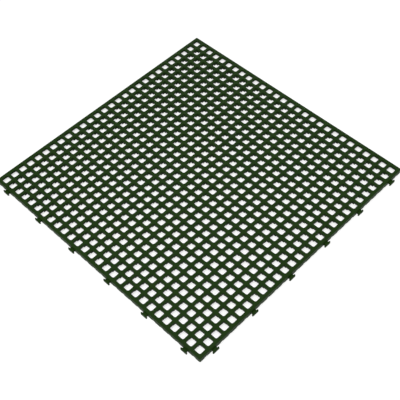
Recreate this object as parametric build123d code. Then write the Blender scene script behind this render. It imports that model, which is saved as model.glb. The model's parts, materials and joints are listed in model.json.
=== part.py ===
from build123d import *

import os

# A square floor tile moulded in one piece: a grid of bars on short feet, inside a border whose
# skirt reaches the floor. T-shaped hooks on two sides enter slots in the next tile's skirt.
# Millimetres. The origin is the tile's centre on the floor, +Z up, hooks on the -X and -Y sides.

# Grid
PITCH = 19.5            # from one bar's middle to the next
CELLS = 28              # holes along one side
BAR_WIDTH = 5.8
BAR_DEPTH = 5.5         # top face down to the bars' underside
HEIGHT = 11.0           # floor to top face

# Border
BORDER_OVERHANG = 4.5   # outer face beyond the outermost bar's middle
BORDER_WIDTH = 6.8
CORNER_RADIUS = 2.0
SKIRT_WALL = 2.6
ARCH_WIDTH = 7.0        # drain arches along the skirt's lower edge
ARCH_HEIGHT = 1.8

# Hooks and slots
HOOK_FIRST_CELL = 1     # cell of the first hook, counted from 0
HOOK_SPACING = 5        # cells from one hook to the next
HOOK_COUNT = 6          # on each of the two hooked sides
NECK_WIDTH = 9.4
HEAD_WIDTH = 15.0
HEAD_LENGTH = 2.8
HEAD_RADIUS = 1.2
FIT = 0.4               # clearance between a hook and what it enters, on every side

HALF = CELLS / 2 * PITCH + BORDER_OVERHANG
UNDERSIDE = HEIGHT - BAR_DEPTH
NECK_LENGTH = SKIRT_WALL + FIT
HOOK_TOP = UNDERSIDE - FIT
HOOK_CELLS = [HOOK_FIRST_CELL + HOOK_SPACING * i for i in range(HOOK_COUNT)]

# The tile is cut in four only because it has so many holes. Both cuts cross the bars half a cell
# past the centre, so that every crossing and its foot stays whole.
CUT = PITCH / 2
REACH = HALF + NECK_LENGTH + HEAD_LENGTH
LOW_SIDE = (-REACH, CUT)
HIGH_SIDE = (CUT, REACH)
QUARTERS = {
    "grid_quarter_hooked": (LOW_SIDE, LOW_SIDE),
    "grid_quarter_right": (HIGH_SIDE, LOW_SIDE),
    "grid_quarter_left": (LOW_SIDE, HIGH_SIDE),
    "grid_quarter_slotted": (HIGH_SIDE, HIGH_SIDE),
}


def bar_line(index):
    """Where the middle of a bar lies; 0 is the first one, CELLS the last."""
    return (index - CELLS / 2) * PITCH


def hole_span(cell):
    """The two ends of a hole; the outermost holes reach to the border's inner face."""
    low = -HALF + BORDER_WIDTH if cell == 0 else bar_line(cell) + BAR_WIDTH / 2
    high = HALF - BORDER_WIDTH if cell == CELLS - 1 else bar_line(cell + 1) - BAR_WIDTH / 2
    return low, high


def block(x_span, y_span, z_span):
    """A box given by its ends along X, Y and Z."""
    spans = (x_span, y_span, z_span)
    middle = Pos(*[(low + high) / 2 for low, high in spans])
    return middle * Box(*[high - low for low, high in spans])


def rectangle_wire(x_span, y_span):
    (x0, x1), (y0, y1) = x_span, y_span
    return Wire.make_polygon([(x0, y0), (x1, y0), (x1, y1), (x0, y1)])


def grid_face():
    """The tile seen from above, with its square holes."""
    outline = RectangleRounded(2 * HALF, 2 * HALF, CORNER_RADIUS).face().outer_wire()
    spans = [hole_span(cell) for cell in range(CELLS)]
    return Face(outline, [rectangle_wire(x, y) for x in spans for y in spans])


def feet(x_span, y_span):
    """A square foot under each crossing inside a quarter, as wide as the bars that it carries."""
    lines = [bar_line(index) for index in range(1, CELLS)]
    side = BAR_WIDTH / 2
    return [
        block((x - side, x + side), (y - side, y + side), (0, UNDERSIDE))
        for x in lines if x_span[0] < x < x_span[1]
        for y in lines if y_span[0] < y < y_span[1]
    ]


def skirt():
    """The wall from the floor to the deck, with an arch at each cell that has no hook or slot."""
    outer = RectangleRounded(2 * HALF, 2 * HALF, CORNER_RADIUS)
    inner = Rectangle(2 * (HALF - SKIRT_WALL), 2 * (HALF - SKIRT_WALL))
    arched_cells = [cell for cell in range(CELLS) if cell not in HOOK_CELLS]
    arches = []
    for cell in arched_cells:
        middle = bar_line(cell + 0.5)
        across = (middle - ARCH_WIDTH / 2, middle + ARCH_WIDTH / 2)
        arches.append(block((-HALF, HALF), across, (0, ARCH_HEIGHT)))
        arches.append(block(across, (-HALF, HALF), (0, ARCH_HEIGHT)))
    return extrude(outer - inner, UNDERSIDE) - arches


def on_both_sides(shape):
    """A shape made for the X side at Y 0, at each hook's cell there and mirrored onto the Y side."""
    on_x = [Pos(0, bar_line(cell + 0.5), 0) * shape for cell in HOOK_CELLS]
    diagonal = Plane(origin=(0, 0, 0), z_dir=(1, -1, 0))
    return on_x + [mirror(copy, about=diagonal) for copy in on_x]


def hook():
    """A T lying on the floor: a neck out of the skirt and a wider head with rounded corners."""
    neck_end = -HALF - NECK_LENGTH
    z_span = (0, HOOK_TOP)
    neck = block((neck_end, -HALF), (-NECK_WIDTH / 2, NECK_WIDTH / 2), z_span)
    head = block((neck_end - HEAD_LENGTH, neck_end), (-HEAD_WIDTH / 2, HEAD_WIDTH / 2), z_span)
    return neck + fillet(head.edges().filter_by(Axis.Z), HEAD_RADIUS)


def slot():
    """The gap in the skirt that drops over a neck, so that the head is caught behind the skirt."""
    side = NECK_WIDTH / 2 + FIT
    return block((HALF - SKIRT_WALL, HALF), (-side, side), (0, UNDERSIDE))


def border():
    """The skirt with its slots, and the hooks on it."""
    return skirt() - on_both_sides(slot()) + on_both_sides(hook())


def quarter(x_span, y_span, deck_face, border_ring):
    """One quarter of the tile, with its share of the border."""
    deck = Pos(0, 0, UNDERSIDE) * extrude(deck_face & Face(rectangle_wire(x_span, y_span)), BAR_DEPTH)
    share = border_ring & block(x_span, y_span, (0, HEIGHT))
    return deck + [share, *feet(x_span, y_span)]


deck_face = grid_face()
border_ring = border()
os.makedirs("parts", exist_ok=True)
for name, (x_span, y_span) in QUARTERS.items():
    solid = quarter(x_span, y_span, deck_face, border_ring)
    export_step(solid, f"parts/{name}.step")
    print(name, round(solid.volume), len(solid.faces()))
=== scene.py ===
# %% [markdown]
# # A plastic floor tile that hooks to its neighbours
#
# The tile is one moulding: a square grid of bars that stands on small feet, inside a border whose
# skirt reaches the floor. T-shaped hooks along two sides go into slots in the next tile's skirt.
# The measured model comes first, because every shape below has to fit it. Here it is loaded, and
# its outer box is kept.

import json
import math

import bmesh
import bpy
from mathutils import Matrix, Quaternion, Vector

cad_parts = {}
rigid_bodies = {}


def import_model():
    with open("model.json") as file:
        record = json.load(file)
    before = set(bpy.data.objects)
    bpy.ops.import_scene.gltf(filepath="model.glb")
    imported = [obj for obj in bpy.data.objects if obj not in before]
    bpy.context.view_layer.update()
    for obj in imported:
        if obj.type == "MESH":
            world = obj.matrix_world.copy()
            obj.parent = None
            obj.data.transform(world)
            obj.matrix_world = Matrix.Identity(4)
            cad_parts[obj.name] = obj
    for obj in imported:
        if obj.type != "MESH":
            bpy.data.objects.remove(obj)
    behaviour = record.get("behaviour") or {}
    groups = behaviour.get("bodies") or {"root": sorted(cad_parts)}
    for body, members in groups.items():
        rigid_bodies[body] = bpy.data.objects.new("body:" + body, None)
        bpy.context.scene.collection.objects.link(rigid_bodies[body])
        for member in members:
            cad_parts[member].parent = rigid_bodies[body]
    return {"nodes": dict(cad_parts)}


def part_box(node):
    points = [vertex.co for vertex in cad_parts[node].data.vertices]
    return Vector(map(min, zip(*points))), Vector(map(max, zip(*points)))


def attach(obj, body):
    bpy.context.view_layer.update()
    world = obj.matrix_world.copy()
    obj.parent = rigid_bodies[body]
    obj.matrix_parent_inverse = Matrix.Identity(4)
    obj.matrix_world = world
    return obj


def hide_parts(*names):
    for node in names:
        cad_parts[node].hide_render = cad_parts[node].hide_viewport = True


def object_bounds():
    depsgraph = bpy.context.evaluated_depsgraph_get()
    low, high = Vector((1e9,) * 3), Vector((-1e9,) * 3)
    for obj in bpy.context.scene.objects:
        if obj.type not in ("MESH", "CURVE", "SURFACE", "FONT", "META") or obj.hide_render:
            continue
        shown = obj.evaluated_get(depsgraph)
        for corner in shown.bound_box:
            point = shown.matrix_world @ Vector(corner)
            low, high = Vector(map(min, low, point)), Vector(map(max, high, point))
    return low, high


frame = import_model()
cad_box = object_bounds()
QUARTERS = sorted(frame["nodes"])
print("quarters of the measured tile:", QUARTERS)
print("its box in metres:", [tuple(round(v, 5) for v in corner) for corner in cad_box])

# %% [markdown]
# The height, the width and the reach of the hooks are read from the measured tile. What can't be
# read from a box, such as the width of a bar, is a named size in metres. Everything else is worked
# out from these.

# %% Sizes
MM = 0.001
CELLS = 28
PITCH = 19.5 * MM
BAR_WIDTH = 5.8 * MM
BAR_DEPTH = 5.5 * MM
BORDER_WIDTH = 6.8 * MM
SKIRT_WALL = 2.6 * MM

TOP = cad_box[1].z
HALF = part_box("grid_quarter_slotted")[1].x
HOOK_REACH = -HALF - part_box("grid_quarter_hooked")[0].x
UNDERSIDE = TOP - BAR_DEPTH
OVERHANG = HALF - CELLS / 2 * PITCH
print(f"half width {HALF / MM:.2f} mm, top {TOP / MM:.2f} mm, hooks reach {HOOK_REACH / MM:.2f} mm")

# %% [markdown]
# The camera looks down over one corner, as in a catalogue picture. It is given by what it aims at,
# how far away it is, two angles and a slight roll, so that each value can be changed by itself.

# %% Camera
CAMERA_AIM = Vector((-0.0407, -0.0452, TOP - BAR_DEPTH / 2))
CAMERA_DISTANCE = 1.5347
CAMERA_AZIMUTH = math.radians(-43.21)
CAMERA_ELEVATION = math.radians(52.85)
CAMERA_ROLL = math.radians(-2.89)
CAMERA_LENS = 72.84
SENSOR_WIDTH = 36.0


def make_camera():
    level = math.cos(CAMERA_ELEVATION)
    back = Vector((
        math.sin(CAMERA_AZIMUTH) * level,
        -math.cos(CAMERA_AZIMUTH) * level,
        math.sin(CAMERA_ELEVATION),
    ))
    camera = bpy.data.objects.new("camera", bpy.data.cameras.new("camera"))
    camera.data.lens = CAMERA_LENS
    camera.data.sensor_width = SENSOR_WIDTH
    camera.location = CAMERA_AIM + back * CAMERA_DISTANCE
    camera.rotation_mode = "QUATERNION"
    camera.rotation_quaternion = back.to_track_quat("Z", "Y") @ Quaternion((0, 0, 1), CAMERA_ROLL)
    bpy.context.scene.collection.objects.link(camera)
    return camera


camera = make_camera()
bpy.context.scene.camera = camera
print("camera stands at", tuple(round(v, 4) for v in camera.location))

# %% [markdown]
# The picture has a plain white ground. A white this clean can't come from more light, because the
# green would wash out. So the floor and the world show as white only to the camera, in mirrors and
# through glass, by the Light Path node, and light the tile at a plain level otherwise. The floor
# keeps half of its real shading, and with it the tile's shadow. The white mixed in is a little
# brighter than paper, as in a picture exposed for its ground, which keeps the holes crisp.

# %% Floor and world
FLOOR_SIZE = 12.0
FLOOR_COLOUR = (0.93, 0.93, 0.93, 1.0)
FLOOR_SHOWN_WHITE = 0.5
FLOOR_SHOWN_LEVEL = 1.3
WORLD_LEVEL = 0.4
WHITE = (1.0, 1.0, 1.0, 1.0)


def is_seen(nodes, links):
    """1 for what the camera sees, directly, in a mirror or through glass, and 0 for other light."""
    path = nodes.new("ShaderNodeLightPath")
    seen = path.outputs["Is Camera Ray"]
    for name in ("Is Glossy Ray", "Is Transmission Ray"):
        either = nodes.new("ShaderNodeMath")
        either.operation = "MAXIMUM"
        links.new(seen, either.inputs[0])
        links.new(path.outputs[name], either.inputs[1])
        seen = either.outputs[0]
    return seen


def floor_material():
    material = bpy.data.materials.new("studio_floor")
    material.use_nodes = True
    nodes, links = material.node_tree.nodes, material.node_tree.links
    nodes.clear()
    paper = nodes.new("ShaderNodeBsdfDiffuse")
    paper.inputs["Color"].default_value = FLOOR_COLOUR
    shown = nodes.new("ShaderNodeEmission")
    shown.inputs["Color"].default_value = WHITE
    shown.inputs["Strength"].default_value = FLOOR_SHOWN_LEVEL
    share = nodes.new("ShaderNodeMath")
    share.operation = "MULTIPLY"
    share.inputs[1].default_value = FLOOR_SHOWN_WHITE
    mix = nodes.new("ShaderNodeMixShader")
    output = nodes.new("ShaderNodeOutputMaterial")
    links.new(is_seen(nodes, links), share.inputs[0])
    links.new(share.outputs[0], mix.inputs[0])
    links.new(paper.outputs[0], mix.inputs[1])
    links.new(shown.outputs[0], mix.inputs[2])
    links.new(mix.outputs[0], output.inputs["Surface"])
    return material


def make_floor():
    side = FLOOR_SIZE / 2
    mesh = bpy.data.meshes.new("studio_floor")
    corners = [(-side, -side, 0), (side, -side, 0), (side, side, 0), (-side, side, 0)]
    mesh.from_pydata(corners, [], [(0, 1, 2, 3)])
    mesh.materials.append(floor_material())
    floor = bpy.data.objects.new("studio_floor", mesh)
    bpy.context.scene.collection.objects.link(floor)


def make_world():
    world = bpy.data.worlds.new("studio")
    world.use_nodes = True
    nodes, links = world.node_tree.nodes, world.node_tree.links
    nodes.clear()
    sky = nodes.new("ShaderNodeBackground")
    sky.inputs["Color"].default_value = WHITE
    level = nodes.new("ShaderNodeMath")
    level.operation = "MULTIPLY_ADD"
    level.inputs[1].default_value = 1 - WORLD_LEVEL
    level.inputs[2].default_value = WORLD_LEVEL
    output = nodes.new("ShaderNodeOutputWorld")
    links.new(is_seen(nodes, links), level.inputs[0])
    links.new(level.outputs[0], sky.inputs["Strength"])
    links.new(sky.outputs[0], output.inputs["Surface"])
    bpy.context.scene.world = world


make_floor()
make_world()
bpy.context.scene.view_settings.view_transform = "Standard"
print("floor and world are set")

# %% [markdown]
# Two large soft lamps do the rest. A flat lamp of power P at a distance d lights a white surface
# that faces it to P / (pi * pi * d * d), so each lamp's power is worked out from the level wanted.
# The key lamp hangs almost overhead, so that light reaches the ground through every hole, but a
# little in front and to the left, because the left side of the border is the lighter one. A weak
# lamp behind lifts the far edges of the holes.

# %% Lamps
LAMPS = {
    "key_lamp": {"place": Vector((-0.7, -0.2, 3.0)), "size": 1.6, "level": 0.60},
    "back_lamp": {"place": Vector((1.5, 1.2, 1.5)), "size": 0.8, "level": 0.05},
}


def make_lamp(name, place, size, level):
    lamp = bpy.data.lights.new(name, "AREA")
    lamp.size = size
    lamp.energy = level * (math.pi * place.length) ** 2
    holder = bpy.data.objects.new(name, lamp)
    holder.location = place
    holder.rotation_euler = place.to_track_quat("Z", "Y").to_euler()
    bpy.context.scene.collection.objects.link(holder)
    print(f"{name}: {lamp.energy:.1f} W from {place.length:.2f} m")


for name, lamp in LAMPS.items():
    make_lamp(name, **lamp)

# %% [markdown]
# The tile is moulded in dark green polypropylene, dyed right through. Three things keep it from
# looking like paint: the pigment is a little uneven, the mould leaves a fine grain, and the grain
# scatters light unevenly. All three are noise on object coordinates, so they stay in place whatever
# the view. The shine is low, which keeps the green deep under a white studio.

# %% Green plastic
GREEN_DEEP = (0.0080, 0.0280, 0.0016, 1.0)
GREEN_PALE = (0.0112, 0.0340, 0.0032, 1.0)
PIGMENT_SCALE = 45.0
PIGMENT_DETAIL = 4.0
PIGMENT_RANGE = (0.35, 0.65)
GRAIN_SCALE = 1400.0
GRAIN_DETAIL = 2.0
GRAIN_RANGE = (0.3, 0.7)
GRAIN_HEIGHT = 0.06 * MM
GRAIN_STRENGTH = 0.5
ROUGHNESS_RANGE = (0.42, 0.58)
SHINE = 0.075


def noise(nodes, links, place, scale, detail):
    texture = nodes.new("ShaderNodeTexNoise")
    texture.inputs["Scale"].default_value = scale
    texture.inputs["Detail"].default_value = detail
    links.new(place, texture.inputs["Vector"])
    return texture.outputs["Fac"]


def green_plastic():
    material = bpy.data.materials.new("tile_plastic_green")
    material.use_nodes = True
    nodes, links = material.node_tree.nodes, material.node_tree.links
    shader = nodes["Principled BSDF"]
    shader.inputs["Specular IOR Level"].default_value = SHINE
    place = nodes.new("ShaderNodeTexCoord").outputs["Object"]
    pigment = nodes.new("ShaderNodeValToRGB")
    deep, pale = pigment.color_ramp.elements
    deep.position, pale.position = PIGMENT_RANGE
    deep.color = GREEN_DEEP
    pale.color = GREEN_PALE
    shade = noise(nodes, links, place, PIGMENT_SCALE, PIGMENT_DETAIL)
    links.new(shade, pigment.inputs["Fac"])
    links.new(pigment.outputs["Color"], shader.inputs["Base Color"])
    grain = noise(nodes, links, place, GRAIN_SCALE, GRAIN_DETAIL)
    spread = nodes.new("ShaderNodeMapRange")
    spread.inputs["From Min"].default_value = GRAIN_RANGE[0]
    spread.inputs["From Max"].default_value = GRAIN_RANGE[1]
    spread.inputs["To Min"].default_value = ROUGHNESS_RANGE[0]
    spread.inputs["To Max"].default_value = ROUGHNESS_RANGE[1]
    links.new(grain, spread.inputs["Value"])
    links.new(spread.outputs["Result"], shader.inputs["Roughness"])
    bump = nodes.new("ShaderNodeBump")
    bump.inputs["Strength"].default_value = GRAIN_STRENGTH
    bump.inputs["Distance"].default_value = GRAIN_HEIGHT
    links.new(grain, bump.inputs["Height"])
    links.new(bump.outputs["Normal"], shader.inputs["Normal"])
    return material


plastic = green_plastic()
print("material:", plastic.name)

# %% [markdown]
# Nearly 800 holes repeat on one pitch, so the tile is made of cells: a square of the pitch with its
# hole in the middle. Cells are open where they meet, and close up once they are welded together. A
# cell is a list of faces, each face a list of points that run anticlockwise when seen from outside.
# The helpers here lift an outline to a height, join two outlines by a strip of faces, and make a
# mesh of the faces, in which neighbours share their points.

# %% Faces and shared points
KEY_DIGITS = 3


def at_height(outline, z):
    return [(x, y, z) for x, y in outline]


def weld_key(point):
    """Points that agree to a thousandth of a millimetre have the same key, and are one point."""
    return tuple(round(value / MM, KEY_DIGITS) for value in point)


def mesh_of(name, faces):
    points = {}
    for face in faces:
        for point in face:
            points.setdefault(weld_key(point), (len(points), point))
    mesh = bpy.data.meshes.new(name)
    corners = [[points[weld_key(point)][0] for point in face] for face in faces]
    mesh.from_pydata([point for _, point in points.values()], [], corners)
    return mesh


def strip(upper, lower, to_left):
    """Four-sided faces between two outlines, facing left of the way they run, or right of it."""
    fours = list(zip(upper, upper[1:], lower[1:], lower))
    return [list(four) if to_left else list(reversed(four)) for four in fours]


print("the key of a point, in millimetres:", weld_key((PITCH, BAR_WIDTH, TOP)))

# %% [markdown]
# Moulded edges are never sharp. A rounded edge is a quarter circle, cut into flat steps. Along the
# top of a hole it widens the opening, and one step is enough, because the edge is thinner than a
# pixel of the picture. Along the top of the border it narrows the tile, in two steps. The profile
# gives, for each step, how far it lies in from the wall and below the top.

# %% Rounded edges and hole outlines
HOLE_CORNER = 2.7 * MM
HOLE_CORNER_STEPS = 3
HOLE_EDGE = 0.5 * MM
HOLE_EDGE_STEPS = 1
BORDER_EDGE = 0.8 * MM
BORDER_EDGE_STEPS = 2
TILE_CORNER = 2.0 * MM
TILE_CORNER_STEPS = 4


def edge_profile(radius, steps):
    """(distance in from the wall, depth below the top) from the top round to the wall."""
    angles = [math.pi / 2 * step / steps for step in range(steps + 1)]
    return [(radius * (1 - math.sin(a)), radius * (1 - math.cos(a))) for a in angles]


def arc(centre, radius, first_quarter, steps):
    """Points of a quarter circle, anticlockwise, from a multiple of a quarter turn."""
    angles = [math.pi / 2 * (first_quarter + step / steps) for step in range(steps + 1)]
    return [(centre[0] + radius * math.cos(a), centre[1] + radius * math.sin(a)) for a in angles]


class Cell:
    """The measures of one cell. Its four sides are 0 for +X, 1 for +Y, 2 for -X and 3 for -Y."""

    def __init__(self, border_sides=()):
        self.border_sides = border_sides
        self.signs = (1, 1, -1, -1)
        hole = PITCH / 2 - BAR_WIDTH / 2
        hole_at_border = PITCH / 2 + OVERHANG - BORDER_WIDTH
        self.hole = [hole_at_border if side in border_sides else hole for side in range(4)]

    def reach(self, at_border):
        """How far the cell goes on each side, when it goes this far at the tile's border."""
        return [at_border if side in self.border_sides else PITCH / 2 for side in range(4)]

    def point(self, side, along_side, along_next):
        """A point given by its distances towards a side and towards the next one round."""
        if side % 2 == 0:
            return along_side * self.signs[side], along_next * self.signs[(side + 1) % 4]
        return along_next * self.signs[(side + 1) % 4], along_side * self.signs[side]

    def arcs(self, grow=0.0):
        """The rounded hole's four corners; corner 0 lies between side 0 and side 1."""
        corners = []
        for side in range(4):
            here, after = self.hole[side] - HOLE_CORNER, self.hole[(side + 1) % 4] - HOLE_CORNER
            centre = self.point(side, here, after)
            corners.append(arc(centre, HOLE_CORNER + grow, side, HOLE_CORNER_STEPS))
        return corners

    def pushed(self, point, side, reach):
        """The point moved straight out to where the cell ends on that side."""
        limit = reach[side] * self.signs[side]
        return (limit, point[1]) if side % 2 == 0 else (point[0], limit)

    def has_foot(self, corner):
        return corner not in self.border_sides and (corner + 1) % 4 not in self.border_sides

    def is_tile_corner(self, corner):
        return corner in self.border_sides and (corner + 1) % 4 in self.border_sides


print("a hole is", round((PITCH - BAR_WIDTH) / MM, 2), "mm wide")

# %% [markdown]
# The top of a cell is a frame round the hole: four flat sides and four corner pieces that take in
# the rounded corners. The hole's wall hangs from it, with the rounded edge first. Where the cell is
# at the border, the frame stops short of the edge by that edge's radius.

# %% Top of a cell and the wall of its hole
OUTER_FACE = PITCH / 2 + OVERHANG


def corner_tip(cell, corner, reach, inset):
    """The outermost points of a corner: one point, or an arc at the corner of the whole tile."""
    after = (corner + 1) % 4
    if not cell.is_tile_corner(corner):
        return [cell.point(corner, reach[corner], reach[after])]
    centre = cell.point(corner, OUTER_FACE - TILE_CORNER, OUTER_FACE - TILE_CORNER)
    return arc(centre, TILE_CORNER - inset, corner, TILE_CORNER_STEPS)


def cell_top(cell):
    reach = cell.reach(OUTER_FACE - BORDER_EDGE)
    arcs = cell.arcs(HOLE_EDGE)
    faces = []
    for side in range(4):
        start, end = arcs[side - 1][-1], arcs[side][0]
        edge = [cell.pushed(start, side, reach), cell.pushed(end, side, reach)]
        faces.append(at_height([start, *edge, end], TOP))
        outer = [
            cell.pushed(end, side, reach),
            *corner_tip(cell, side, reach, BORDER_EDGE),
            cell.pushed(arcs[side][-1], (side + 1) % 4, reach),
        ]
        faces.append(at_height([end, *outer, *reversed(arcs[side][1:])], TOP))
    return faces


def hole_wall(cell):
    rings = []
    levels = [(grow, TOP - depth) for grow, depth in edge_profile(HOLE_EDGE, HOLE_EDGE_STEPS)]
    for grow, z in [*levels, (0.0, UNDERSIDE)]:
        outline = [point for corner in cell.arcs(grow) for point in corner]
        rings.append(at_height(outline + outline[:1], z))
    return [face for upper, lower in zip(rings, rings[1:]) for face in strip(upper, lower, True)]


print("faces on top of a cell:", len(cell_top(Cell())), "and in its hole:", len(hole_wall(Cell())))

# %% [markdown]
# Underneath, a foot stands below each crossing: a cross of two short webs. Such a foot is stiff with
# little plastic, and water runs off between one and the next. It narrows a little towards the
# floor, so that it leaves the mould. Each cell carries a quarter of a cross in every corner that
# has one. The skirt mark is where a border cell's underside is split, just outside a slot.

# %% Underside of a cell and its feet
WEB_HALF = 1.6 * MM
WEB_HALF_FLOOR = 1.4 * MM
ARM = 6.6 * MM
ARM_FLOOR = 6.2 * MM
INNER_FACE = OUTER_FACE - SKIRT_WALL
SKIRT_MARK = 5.5 * MM


def foot_outline(cell, corner, web, arm):
    """The foot's outline inside the cell, from one side of the cell to the next."""
    reach = PITCH / 2
    depths = [(0, arm), (web, arm), (web, web), (arm, web), (arm, 0)]
    return [cell.point(corner, reach - near, reach - far) for near, far in depths]


def foot(cell, corner):
    top = foot_outline(cell, corner, WEB_HALF, ARM)
    floor = foot_outline(cell, corner, WEB_HALF_FLOOR, ARM_FLOOR)
    middle = cell.point(corner, PITCH / 2, PITCH / 2)
    walls = strip(at_height(top, UNDERSIDE), at_height(floor, 0.0), True)
    sole = at_height([middle, *floor], 0.0)
    return [*walls, sole]


def met(cell, ring_point, side, reach):
    """Where a split of the underside meets the cell's edge; a skirt leaves room for a slot."""
    x, y = cell.pushed(ring_point, side, reach)
    if side not in cell.border_sides:
        return x, y
    if side % 2 == 0:
        return x, math.copysign(SKIRT_MARK, y)
    return math.copysign(SKIRT_MARK, x), y


def side_end(cell, ring_point, side, corner, reach):
    """Where a side's underside ends beside a corner, from the hole's edge outwards."""
    if not cell.has_foot(corner):
        return [met(cell, ring_point, side, reach)]
    outline = foot_outline(cell, corner, WEB_HALF, ARM)
    return [outline[1], outline[0]] if side == corner else [outline[3], outline[4]]


def cell_underside(cell, slot_edge=()):
    """The flat underside, its feet, and the roof of a slot where the cell has one."""
    reach = cell.reach(INNER_FACE)
    arcs = cell.arcs()
    faces = []
    for side in range(4):
        start, end = arcs[side - 1][-1], arcs[side][0]
        going_out = side_end(cell, start, side, (side - 1) % 4, reach)
        coming_back = reversed(side_end(cell, end, side, side, reach))
        notch = slot_edge if side in cell.border_sides else ()
        faces.append([start, *going_out, *notch, *coming_back, end])
        if cell.has_foot(side):
            outer = foot_outline(cell, side, WEB_HALF, ARM)[1:-1]
        else:
            after = (side + 1) % 4
            tip = cell.point(side, reach[side], reach[after])
            outer = [met(cell, end, side, reach), tip, met(cell, arcs[side][-1], after, reach)]
        faces.append([end, *outer, *reversed(arcs[side][1:])])
    flat = [list(reversed(at_height(face, UNDERSIDE))) for face in faces]
    feet = [face for corner in range(4) if cell.has_foot(corner) for face in foot(cell, corner)]
    return flat + feet


print("faces under a cell:", len(cell_underside(Cell())))

# %% [markdown]
# The border's skirt is a thin wall under its outer edge. In most cells a low arch lets water out.
# In the others a hook grows from the wall, or, on the two far sides, a slot takes the next tile's
# hook. An arch or a slot is one outline, drawn once and used for both faces of the wall and for
# the surface through it. Where a hook grows, only the outer face is left open, for its neck.
# Border cells are drawn with their border towards -Y and turned afterwards.

# %% Skirt, arches and slots
ARCH_HALF = 3.5 * MM
ARCH_HEIGHT = 1.8 * MM
ARCH_CORNER = 1.3 * MM
ARCH_STEPS = 3
NECK_HALF = 4.7 * MM
FIT = 0.4 * MM
SLOT_HALF = NECK_HALF + FIT
HOOK_EDGE = 0.4 * MM
HOOK_TOP = UNDERSIDE - FIT


def arch_outline():
    """(x, z) over the arch, from its left foot to its right foot."""
    spring = ARCH_HEIGHT - ARCH_CORNER
    left = arc((-ARCH_HALF + ARCH_CORNER, spring), ARCH_CORNER, 1, ARCH_STEPS)
    right = [(-x, z) for x, z in left]
    return [(-ARCH_HALF, 0.0), *reversed(left), *right, (ARCH_HALF, 0.0)]


def slot_outline():
    left = [(-SLOT_HALF, 0.0), (-SLOT_HALF, UNDERSIDE)]
    return [*left, *[(-x, z) for x, z in reversed(left)]]


def neck_outline():
    left = [
        (-NECK_HALF, 0.0),
        (-NECK_HALF, HOOK_TOP - HOOK_EDGE),
        (-NECK_HALF + HOOK_EDGE, HOOK_TOP),
    ]
    return [*left, *[(-x, z) for x, z in reversed(left)]]


def standing(outline, y):
    return [(x, y, z) for x, z in outline]


def splits_wall(opening, top):
    """Whether an opening goes right up to a wall's top: a slot does so on the inner face."""
    return bool(opening) and max(z for _, z in opening) >= top


def wall_face(marks, opening, top, y, outwards):
    """One face of the skirt: marks are where points lie along its top edge, from left to right."""
    left_foot, right_foot = (marks[0], 0.0), (marks[-1], 0.0)
    edge = [(x, top) for x in reversed(marks)]
    if splits_wall(opening, top):
        left_edge = [point for point in edge if point[0] < opening[1][0]]
        right_edge = [point for point in edge if point[0] > opening[-2][0]]
        outlines = [
            [left_foot, opening[0], opening[1], *left_edge],
            [opening[-1], right_foot, *right_edge, opening[-2]],
        ]
    else:
        outlines = [[left_foot, *opening, right_foot, *edge]]
    faces = [standing(outline, y) for outline in outlines]
    return faces if outwards else [list(reversed(face)) for face in faces]


def skirt_walls(outer_marks, inner_marks, outer_opening, inner_opening):
    """Outer and inner face of a cell's skirt, and the surface through its arch or slot."""
    faces = wall_face(outer_marks, outer_opening, TOP - BORDER_EDGE, -OUTER_FACE, True)
    faces += wall_face(inner_marks, inner_opening, UNDERSIDE, -INNER_FACE, False)
    jambs = [inner_opening]
    if splits_wall(inner_opening, UNDERSIDE):
        jambs = [inner_opening[:2], inner_opening[2:]]
    for jamb in jambs:
        faces += strip(standing(jamb, -OUTER_FACE), standing(jamb, -INNER_FACE), False)
    return faces


def skirt_sole(left, right):
    """The skirt's underside on the floor, from one place along it to another."""
    inner = [(left, -INNER_FACE), (right, -INNER_FACE)]
    outer = [(right, -OUTER_FACE), (left, -OUTER_FACE)]
    return at_height([*inner, *outer], 0.0)


def border_edge(outer_marks):
    """The rounded edge between the border's top and its outer face."""
    rows = [
        [(x, -OUTER_FACE + inset, TOP - depth) for x in outer_marks]
        for inset, depth in edge_profile(BORDER_EDGE, BORDER_EDGE_STEPS)
    ]
    return [face for upper, lower in zip(rows, rows[1:]) for face in strip(upper, lower, False)]


# Where points lie along the border's top edge and along the skirt's inner face. The cell's top and
# underside have points in the same places, so that they weld to the walls.
HOLE_MARK = PITCH / 2 - BAR_WIDTH / 2 - HOLE_CORNER
EDGE_MARKS = [-PITCH / 2, -HOLE_MARK, HOLE_MARK, PITCH / 2]
INNER_MARKS = [-PITCH / 2, -SKIRT_MARK, SKIRT_MARK, PITCH / 2]
print("arch:", [(round(x / MM, 2), round(z / MM, 2)) for x, z in arch_outline()])

# %% [markdown]
# A hook is a T that lies on the floor: a neck out of the skirt, and a wider head with rounded
# corners. Seen from above it is one outline, so it is drawn as points and raised. Its top edge is
# eased by moving the same outline inwards.

# %% Hooks
HEAD_HALF = 7.5 * MM
HEAD_LENGTH = 2.8 * MM
HEAD_CORNER = 1.2 * MM
HEAD_STEPS = 3
NECK_LENGTH = HOOK_REACH - HEAD_LENGTH


def hook_outline():
    """The T seen from above, anticlockwise, from the wall round to the wall."""
    near = -OUTER_FACE - NECK_LENGTH
    far = near - HEAD_LENGTH
    x = -HEAD_HALF + HEAD_CORNER
    left = [
        (-NECK_HALF, -OUTER_FACE),
        (-NECK_HALF, near),
        *arc((x, near - HEAD_CORNER), HEAD_CORNER, 1, HEAD_STEPS),
        *arc((x, far + HEAD_CORNER), HEAD_CORNER, 2, HEAD_STEPS),
    ]
    return [*left, *[(-px, py) for px, py in reversed(left)]]


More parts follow.
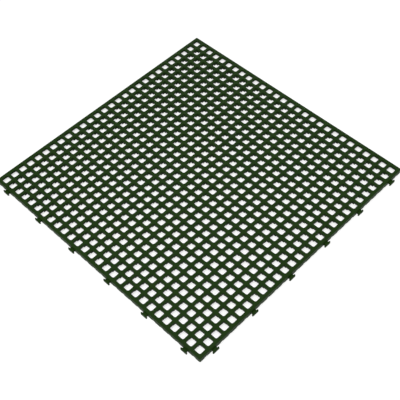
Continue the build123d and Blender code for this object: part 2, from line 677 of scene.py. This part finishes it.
def moved_in(outline, distance):
    """The outline moved to its left by a distance; its two ends slide along the wall."""
    normals = []
    for (x0, y0), (x1, y1) in zip(outline, outline[1:]):
        length = math.hypot(x1 - x0, y1 - y0)
        normals.append(((y0 - y1) / length, (x1 - x0) / length))
    befores, afters = [normals[0], *normals], [*normals, normals[-1]]
    moved = []
    for (x, y), (ax, ay), (bx, by) in zip(outline, befores, afters):
        share = distance / (1 + ax * bx + ay * by)
        moved.append((x + (ax + bx) * share, y + (ay + by) * share))
    return moved


def hook():
    outline = hook_outline()
    rows = [
        at_height(moved_in(outline, HOOK_EDGE), HOOK_TOP),
        at_height(outline, HOOK_TOP - HOOK_EDGE),
        at_height(outline, 0.0),
    ]
    walls = [face for upper, lower in zip(rows, rows[1:]) for face in strip(upper, lower, False)]
    return [*walls, rows[0]]


def hooked_sole():
    """The underside of the skirt and the hook together, flat on the floor."""
    side = PITCH / 2
    outline = [(side, -INNER_FACE), (-side, -INNER_FACE), (-side, -OUTER_FACE), *hook_outline()]
    return list(reversed(at_height([*outline, (side, -OUTER_FACE)], 0.0)))


print("a hook has", len(hook()), "faces above the floor")

# %% [markdown]
# Five cells are enough for the whole tile: an inner one, a border one with an arch, one with a
# hook, one with a slot, and the corner. The corner cell has a border on two sides, so its skirt is
# drawn twice, once mirrored. The number in each name keeps the cells in order, because Blender
# picks them from a collection in the order of their names.

# %% The five cells
def inner_cell():
    cell = Cell()
    return cell_top(cell) + hole_wall(cell) + cell_underside(cell)


def border_cell(kind):
    cell = Cell(border_sides=(3,))
    outer, inner, notch = {
        "arch": (arch_outline(), arch_outline(), ()),
        "slot": (slot_outline(), slot_outline(), slot_roof()),
        "hook": (neck_outline(), [], ()),
    }[kind]
    faces = cell_top(cell) + hole_wall(cell) + cell_underside(cell, notch)
    faces += border_edge(EDGE_MARKS)
    faces += skirt_walls(EDGE_MARKS, INNER_MARKS, outer, inner)
    if kind == "hook":
        return [*faces, *hook(), hooked_sole()]
    return [*faces, skirt_sole(-PITCH / 2, inner[0][0]), skirt_sole(inner[-1][0], PITCH / 2)]


def slot_roof():
    """The notch that a slot adds to the underside: out through the skirt and back."""
    return [
        (-SLOT_HALF, -INNER_FACE), (-SLOT_HALF, -OUTER_FACE),
        (SLOT_HALF, -OUTER_FACE), (SLOT_HALF, -INNER_FACE),
    ]


def mirrored(faces):
    """The faces with X and Y exchanged, turned round so that they still face outwards."""
    return [[(y, x, z) for x, y, z in reversed(face)] for face in faces]


def corner_cell():
    cell = Cell(border_sides=(2, 3))
    arc_start = -(OUTER_FACE - TILE_CORNER)
    hole_start = -(cell.hole[3] - HOLE_CORNER)
    outer_marks = [arc_start, hole_start, HOLE_MARK, PITCH / 2]
    inner_marks = [-INNER_FACE, *INNER_MARKS[1:]]
    walls = skirt_walls(outer_marks, inner_marks, arch_outline(), arch_outline())
    walls += border_edge(outer_marks)
    walls.append(skirt_sole(ARCH_HALF, PITCH / 2))
    faces = cell_top(cell) + hole_wall(cell) + cell_underside(cell)
    return faces + walls + mirrored(walls) + tip()


def tip():
    """The rounded corner of the border, and the L-shaped sole of the skirt inside it."""
    centre = (-(OUTER_FACE - TILE_CORNER), -(OUTER_FACE - TILE_CORNER))
    levels = [(inset, TOP - depth) for inset, depth in edge_profile(BORDER_EDGE, BORDER_EDGE_STEPS)]
    rows = [
        at_height(arc(centre, TILE_CORNER - inset, 2, TILE_CORNER_STEPS), z)
        for inset, z in [*levels, (0.0, 0.0)]
    ]
    faces = [face for upper, lower in zip(rows, rows[1:]) for face in strip(upper, lower, False)]
    inner = [(-ARCH_HALF, -OUTER_FACE), (-ARCH_HALF, -INNER_FACE), (-INNER_FACE, -INNER_FACE)]
    sole = [*inner, *[(y, x) for x, y in reversed(inner[:2])]]
    rim = arc(centre, TILE_CORNER, 2, TILE_CORNER_STEPS)
    return [*faces, list(reversed(at_height([*sole, *rim], 0.0)))]


CELL_KINDS = {
    "cell_0_inner": inner_cell(),
    "cell_1_arch": border_cell("arch"),
    "cell_2_hook": border_cell("hook"),
    "cell_3_slot": border_cell("slot"),
    "cell_4_corner": corner_cell(),
}
for name, faces in CELL_KINDS.items():
    print(name, "has", len(faces), "faces")

# %% [markdown]
# Geometry Nodes lay the cells. A grid of points has one point for each cell. The column and row of
# a point say on which sides it touches the border, and from that come two numbers: which of the
# five cells stands there, and how far it is turned to face outwards. A modifier tree suits this
# better than a loop, because all the copies are made and welded in one step.

# %% Node helpers
def put(value, socket):
    """Sets a socket, or links it when the value comes from another node."""
    if isinstance(value, bpy.types.NodeSocket):
        socket.id_data.links.new(value, socket)
    else:
        socket.default_value = value


def calc(tree, operation, *values):
    node = tree.nodes.new("ShaderNodeMath")
    node.operation = operation
    for value, socket in zip(values, node.inputs):
        put(value, socket)
    return node.outputs[0]


def node_with(tree, kind, **inputs):
    """A node with its inputs set by name, where an underscore stands for a space."""
    node = tree.nodes.new(kind)
    for name, value in inputs.items():
        put(value, node.inputs[name.replace("_", " ")])
    return node


TREE_INPUTS = {
    "Cells": "NodeSocketInt",
    "Pitch": "NodeSocketFloat",
    "First Hook": "NodeSocketInt",
    "Hook Spacing": "NodeSocketInt",
    "Cell Kinds": "NodeSocketCollection",
    "Plastic": "NodeSocketMaterial",
    "Weld Distance": "NodeSocketFloat",
    "Sharp Angle": "NodeSocketFloat",
}
print("inputs of the tree:", ", ".join(TREE_INPUTS))

# %% [markdown]
# The two numbers are plain arithmetic. A cell's way out is +1, 0 or -1 along X and along Y. No way
# out is an inner cell, one is the border, two is a corner. The angle of the way out is the turn. On
# the two low sides every fifth border cell gets a hook, and on the two high sides a slot. Whole
# numbers are compared half a step away from where they change, so rounding can't tip them over.

# %% Which cell stands where
HALF_STEP = 0.5
ARCH_KIND = 1.0
CORNER_KIND = 4.0


def way_out(tree, count, last):
    """+1 where a row or column number is the last one, -1 where it is the first, otherwise 0."""
    at_high = calc(tree, "GREATER_THAN", count, calc(tree, "SUBTRACT", last, HALF_STEP))
    at_low = calc(tree, "LESS_THAN", count, HALF_STEP)
    return calc(tree, "SUBTRACT", at_high, at_low)


def kind_and_turn(tree, given, position):
    last = calc(tree, "SUBTRACT", given["Cells"], 1.0)
    middle = calc(tree, "DIVIDE", last, 2.0)
    place = node_with(tree, "ShaderNodeSeparateXYZ", Vector=position)
    column, row = [
        calc(tree, "ROUND", calc(tree, "ADD", calc(tree, "DIVIDE", value, given["Pitch"]), middle))
        for value in (place.outputs["X"], place.outputs["Y"])
    ]
    out_x, out_y = way_out(tree, column, last), way_out(tree, row, last)
    on_x, on_y = calc(tree, "ABSOLUTE", out_x), calc(tree, "ABSOLUTE", out_y)
    ways = calc(tree, "ADD", on_x, on_y)
    is_corner = calc(tree, "GREATER_THAN", ways, 1 + HALF_STEP)
    is_border = calc(tree, "SUBTRACT", calc(tree, "GREATER_THAN", ways, HALF_STEP), is_corner)
    along_x, along_y = calc(tree, "MULTIPLY", column, on_y), calc(tree, "MULTIPLY", row, on_x)
    along = calc(tree, "ADD", along_x, along_y)
    from_first = calc(tree, "SUBTRACT", along, given["First Hook"])
    steps = calc(tree, "FLOORED_MODULO", from_first, given["Hook Spacing"])
    joins = calc(tree, "LESS_THAN", steps, HALF_STEP)
    is_far = calc(tree, "GREATER_THAN", calc(tree, "ADD", out_x, out_y), HALF_STEP)
    # An arch is kind 1. A joining cell adds 1 for a hook, and on a far side 2 for a slot.
    border_kind = calc(tree, "MULTIPLY_ADD", joins, calc(tree, "ADD", is_far, 1.0), ARCH_KIND)
    corner_kind = calc(tree, "MULTIPLY", is_corner, CORNER_KIND)
    kind = calc(tree, "MULTIPLY_ADD", is_border, border_kind, corner_kind)
    # Cells are drawn with the border towards -Y, and the corner towards -X and -Y.
    facing = calc(tree, "ADD", calc(tree, "ARCTAN2", out_y, out_x), math.pi / 2)
    turn = calc(tree, "MULTIPLY_ADD", is_corner, math.pi / 4, facing)
    return kind, turn


print("cells on the border:", 4 * (CELLS - 1), "of", CELLS ** 2)

# %% [markdown]
# The tree reads from left to right. Points are laid in a grid, a cell is put on each of them and
# turned, the copies become real geometry, and points that meet are welded. Shading is smooth across
# the small steps of a rounded edge and sharp where faces meet at a steep angle. Last, every face
# gets the plastic.

# %% The tree that lays the cells
def laying_tree():
    tree = bpy.data.node_groups.new("lay_cells", "GeometryNodeTree")
    for name, socket_type in TREE_INPUTS.items():
        tree.interface.new_socket(name=name, in_out="INPUT", socket_type=socket_type)
    tree.interface.new_socket(name="Tile", in_out="OUTPUT", socket_type="NodeSocketGeometry")
    given = tree.nodes.new("NodeGroupInput").outputs
    last = calc(tree, "SUBTRACT", given["Cells"], 1.0)
    width = calc(tree, "MULTIPLY", last, given["Pitch"])
    grid = node_with(
        tree, "GeometryNodeMeshGrid",
        Size_X=width, Size_Y=width, Vertices_X=given["Cells"], Vertices_Y=given["Cells"],
    )
    position = tree.nodes.new("GeometryNodeInputPosition").outputs[0]
    kind, turn = kind_and_turn(tree, given, position)
    kinds = node_with(
        tree, "GeometryNodeCollectionInfo",
        Collection=given["Cell Kinds"], Separate_Children=True, Reset_Children=True,
    )
    rotation = node_with(tree, "ShaderNodeCombineXYZ", Z=turn)
    laid = node_with(
        tree, "GeometryNodeInstanceOnPoints",
        Points=grid.outputs["Mesh"], Instance=kinds.outputs[0], Pick_Instance=True,
        Instance_Index=kind, Rotation=rotation.outputs[0],
    )
    real = node_with(tree, "GeometryNodeRealizeInstances", Geometry=laid.outputs[0])
    welded = node_with(
        tree, "GeometryNodeMergeByDistance",
        Geometry=real.outputs[0], Distance=given["Weld Distance"],
    )
    smooth = node_with(tree, "GeometryNodeSetShadeSmooth", Geometry=welded.outputs[0])
    angle = tree.nodes.new("GeometryNodeInputMeshEdgeAngle").outputs["Unsigned Angle"]
    is_sharp = calc(tree, "GREATER_THAN", angle, given["Sharp Angle"])
    sharp = node_with(
        tree, "GeometryNodeSetShadeSmooth",
        Geometry=smooth.outputs[0], Selection=is_sharp, Shade_Smooth=False,
    )
    sharp.domain = "EDGE"
    dyed = node_with(
        tree, "GeometryNodeSetMaterial", Geometry=sharp.outputs[0], Material=given["Plastic"],
    )
    output = tree.nodes.new("NodeGroupOutput")
    put(dyed.outputs[0], output.inputs["Tile"])
    return tree


tree = laying_tree()
print("nodes in the tree:", len(tree.nodes))

# %% [markdown]
# The tree runs once, as a modifier on an object with an empty mesh. A Weighted Normal modifier
# comes after it and keeps the flat faces flat in the shading, so that only the rounded edges catch
# light. The result of both becomes a plain mesh, and the five cells are then no longer needed.

# %% Lay and weld the tile
FIRST_HOOK = 1
HOOK_SPACING = 5
WELD_DISTANCE = 0.01 * MM
SHARP_ANGLE = math.radians(50)


def cell_collection():
    kinds = bpy.data.collections.new("cell_kinds")
    for name, faces in CELL_KINDS.items():
        kinds.objects.link(bpy.data.objects.new(name, mesh_of(name, faces)))
    return kinds


def laid_tile(kinds):
    host = bpy.data.objects.new("tile_being_laid", bpy.data.meshes.new("tile_being_laid"))
    bpy.context.scene.collection.objects.link(host)
    modifier = host.modifiers.new("lay_cells", "NODES")
    modifier.node_group = tree
    values = {
        "Cells": CELLS, "Pitch": PITCH, "First Hook": FIRST_HOOK, "Hook Spacing": HOOK_SPACING,
        "Cell Kinds": kinds, "Plastic": plastic,
        "Weld Distance": WELD_DISTANCE, "Sharp Angle": SHARP_ANGLE,
    }
    for item in tree.interface.items_tree:
        if item.in_out == "INPUT":
            modifier[item.identifier] = values[item.name]
    weighted = host.modifiers.new("flat_faces_stay_flat", "WEIGHTED_NORMAL")
    weighted.keep_sharp = True
    evaluated = host.evaluated_get(bpy.context.evaluated_depsgraph_get())
    mesh = bpy.data.meshes.new_from_object(evaluated)
    bpy.data.objects.remove(host)
    return mesh


kinds = cell_collection()
tile_mesh = laid_tile(kinds)
for source in list(kinds.objects):
    bpy.data.objects.remove(source)
bpy.data.collections.remove(kinds)
tile_mesh.name = "floor_tile"
triangles = sum(len(polygon.vertices) - 2 for polygon in tile_mesh.polygons)
print(f"{len(tile_mesh.polygons)} faces, {triangles} triangles")

# %% [markdown]
# A moulding is one closed skin. Three numbers show it. No edge may join more or fewer than two
# faces, no edge may join two faces that disagree about which side is out, and the volume inside
# comes out positive only when the faces point outwards.

# %% Check that the skin is closed
CUBIC_CM = 0.01 ** 3


def measure_skin(mesh):
    skin = bmesh.new()
    skin.from_mesh(mesh)
    open_edges = sum(1 for edge in skin.edges if len(edge.link_faces) != 2)
    wrong_way = sum(1 for edge in skin.edges if not edge.is_contiguous)
    volume = skin.calc_volume(signed=True)
    skin.free()
    return open_edges, wrong_way, volume


open_edges, wrong_way, volume = measure_skin(tile_mesh)
print(f"open edges {open_edges}, edges between faces that disagree {wrong_way}")
print(f"volume {volume / CUBIC_CM:.1f} cm3")

# %% [markdown]
# The finished tile stands for all four quarters of the measured model. The quarters stay behind it
# for weight and contact.

# %% Hand over the tile
tile = bpy.data.objects.new("floor_tile", tile_mesh)
bpy.context.scene.collection.objects.link(tile)
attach(tile, "root")
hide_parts(*QUARTERS)
